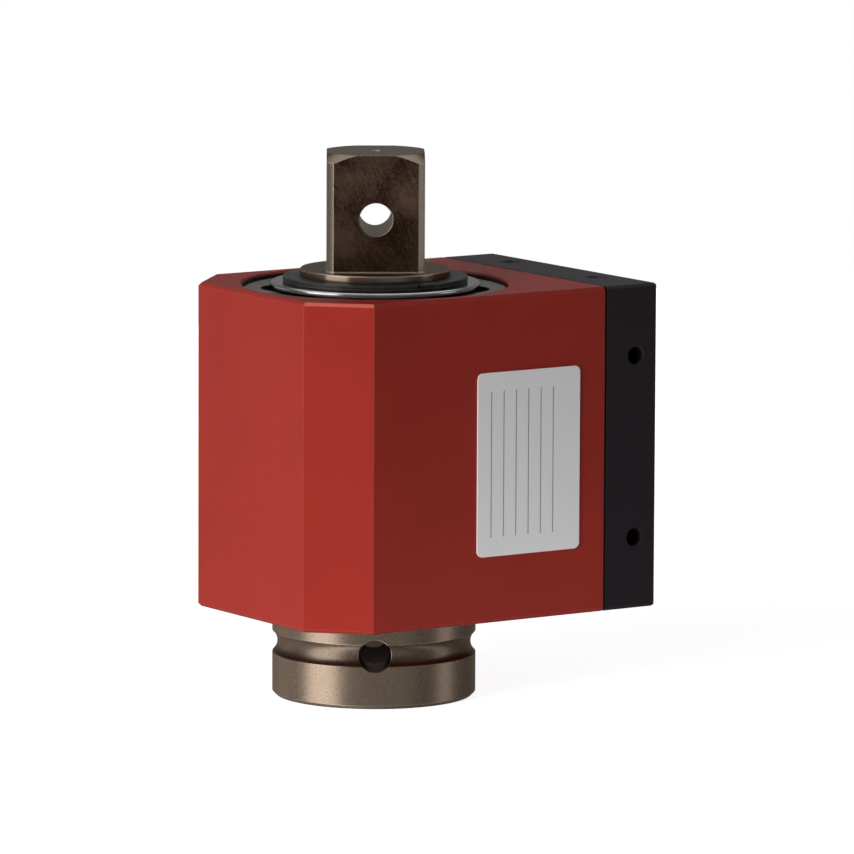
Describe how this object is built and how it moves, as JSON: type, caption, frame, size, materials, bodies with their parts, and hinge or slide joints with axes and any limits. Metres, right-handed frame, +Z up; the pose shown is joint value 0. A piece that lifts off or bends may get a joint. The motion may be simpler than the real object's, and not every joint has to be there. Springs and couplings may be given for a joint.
{
  "type": "rotary torque sensor",
  "caption": "In-line rotary torque sensor: red block on a steel shaft with a male drive square above, a socket boss below, and a black cover block with a round connector.",
  "frame": {"origin": "shaft axis at the underside of the boss", "axes": "+Z up the shaft to the male square, +X from the chamfered nose to the black cover"},
  "size_m": [0.0853, 0.0578, 0.1072],
  "materials": {
    "red_anodised": "satin red anodised",
    "black_anodised": "satin black anodised",
    "seal_rubber": "matte black",
    "black_steel": "black oxide",
    "plate_metal": "satin silver, bare",
    "grey_steel": "phosphated grey",
    "bright_steel": "fine turned",
    "bearing_steel": "ground",
    "brass": "satin",
    "burnished_steel": "brown burnished, machined",
    "dark_resin": "moulded resin",
    "gauge_foil": "polyimide foil",
    "black_plastic": "moulded",
    "board_laminate": "green solder mask",
    "pale_plastic": "moulded",
    "nickel_plate": "satin nickel",
    "graphite": "silver graphite"
  },
  "bodies": {
    "housing": {"housing": "red_anodised", "cover_block": "black_anodised", "cover_gasket": "seal_rubber", "cover_screws": "black_steel", "rating_plate": "plate_metal", "bearing_nut": "grey_steel", "spacer_sleeve": "bright_steel", "wave_spring": "bright_steel", "lower_outer_ring": "bearing_steel", "lower_shields": "grey_steel", "upper_outer_ring": "bearing_steel", "upper_shields": "grey_steel", "brush_holder": "dark_resin", "encoder_reader": "black_plastic", "circuit_board": "board_laminate", "board_screws": "bright_steel", "board_chips": "black_plastic", "board_socket": "pale_plastic", "connector_shell": "nickel_plate", "connector_insert": "black_plastic", "connector_contacts": "brass", "connector_nut": "nickel_plate", "connector_seal": "seal_rubber", "brush_1": "graphite", "brush_2": "graphite", "brush_3": "graphite", "brush_4": "graphite", "brush_spring_1": "bright_steel", "brush_spring_2": "bright_steel", "brush_spring_3": "bright_steel", "brush_spring_4": "bright_steel"},
    "shaft": {"drive_shaft": "burnished_steel", "dust_cap": "bright_steel", "spiral_ring": "black_steel", "lower_inner_ring": "bearing_steel", "upper_inner_ring": "bearing_steel", "slip_ring_drum": "dark_resin", "encoder_hub": "bright_steel", "encoder_disc": "bright_steel", "strain_gauges": "gauge_foil", "slip_ring_1": "brass", "slip_ring_2": "brass", "slip_ring_3": "brass", "slip_ring_4": "brass"},
    "lower_cage": {"lower_balls": "bearing_steel", "lower_cage": "brass"},
    "upper_cage": {"upper_balls": "bearing_steel", "upper_cage": "brass"}
  },
  "joints": [
    {"name": "shaft_spin", "type": "hinge", "parent": "housing", "child": "shaft", "pos_m": [0, 0, 0], "axis": [0, 0, 1], "continuous": true},
    {"name": "lower_cage_orbit", "type": "hinge", "parent": "housing", "child": "lower_cage", "pos_m": [0, 0, 0.023], "axis": [0, 0, 1], "continuous": true},
    {"name": "upper_cage_orbit", "type": "hinge", "parent": "housing", "child": "upper_cage", "pos_m": [0, 0, 0.0708], "axis": [0, 0, 1], "continuous": true}
  ],
  "couplings": [
    {"joint": "lower_cage_orbit", "follows": "shaft_spin", "ratio": 0.45829},
    {"joint": "upper_cage_orbit", "follows": "shaft_spin", "ratio": 0.43708}
  ]
}
